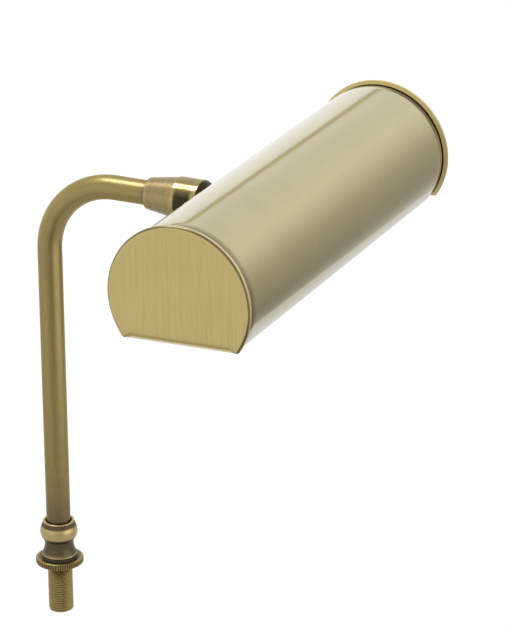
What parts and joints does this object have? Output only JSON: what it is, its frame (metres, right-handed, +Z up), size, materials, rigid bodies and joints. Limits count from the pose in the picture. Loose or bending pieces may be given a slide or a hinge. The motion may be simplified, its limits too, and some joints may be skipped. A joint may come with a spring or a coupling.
{
  "type": "lectern lamp",
  "caption": "Brass lectern lamp: threaded clamp stem, turned neck, bent tube arm and a ball swivel carrying a long half-round shade with a tubular bulb and a turn-key switch.",
  "frame": {"origin": "centre of the threaded nipple's lower end, on the post's axis", "axes": "+Z up along the post, +X along the arm towards the shade, +Y along the shade"},
  "size_m": [0.1371, 0.1774, 0.2075],
  "materials": {
    "antique_brass": "satin antique brass, darker in the hollows and brighter on the edges",
    "brushed_brass": "brushed and lacquered brass",
    "plated_steel": "plain zinc plated",
    "dark_fibre": "dull black",
    "friction_nylon": "dull moulded",
    "porcelain": "glazed",
    "key_plastic": "polished dark moulding",
    "bulb_glass": "clear"
  },
  "bodies": {
    "stand": {"threaded_nipple": "antique_brass", "neck": "antique_brass", "arm_tube": "antique_brass", "swivel_sleeve": "antique_brass", "swivel_cap": "antique_brass", "disc_spring": "plated_steel"},
    "washer": {"panel_washer": "dark_fibre"},
    "locknut": {"knurled_locknut": "antique_brass"},
    "swivel": {"friction_cup": "friction_nylon"},
    "shade": {"ball_stud": "plated_steel", "saddle_washer": "antique_brass", "stud_lock_washer": "plated_steel", "stud_nut": "plated_steel", "shade_shell": "brushed_brass", "near_end_cap": "brushed_brass", "far_end_cap": "brushed_brass", "holder_bracket": "plated_steel", "holder_body": "porcelain", "screw_shell": "antique_brass", "centre_contact": "antique_brass", "holder_screws": "plated_steel", "terminal_screws": "antique_brass", "bulb_cap": "antique_brass", "bulb_contact": "plated_steel", "bulb_glass": "bulb_glass", "bulb_stem": "bulb_glass", "bulb_filament": "plated_steel"},
    "switch": {"switch_key": "key_plastic"}
  },
  "joints": [
    {"name": "washer_slide", "type": "slide", "parent": "stand", "child": "washer", "axis": [0, 0, 1], "range_m": [-0.0191, 0]},
    {"name": "nut_turn", "type": "hinge", "parent": "washer", "child": "locknut", "pos_m": [0, 0, 0.0217], "axis": [0, 0, 1], "range_deg": [-6840, 0]},
    {"name": "shade_roll", "type": "hinge", "parent": "stand", "child": "swivel", "pos_m": [0.063, 0, 0.182], "axis": [1, 0, 0], "range_deg": [-90, 90]},
    {"name": "shade_tilt", "type": "hinge", "parent": "swivel", "child": "shade", "pos_m": [0.063, 0, 0.182], "axis": [0, 1, 0], "range_deg": [-28, 21]},
    {"name": "key_turn", "type": "hinge", "parent": "shade", "child": "switch", "pos_m": [0.1, 0.065, 0.1826], "axis": [0.0651, 0, 0.9979], "continuous": true}
  ],
  "couplings": [
    {"joint": "washer_slide", "follows": "nut_turn", "m_per_rad": 0.00015915}
  ]
}
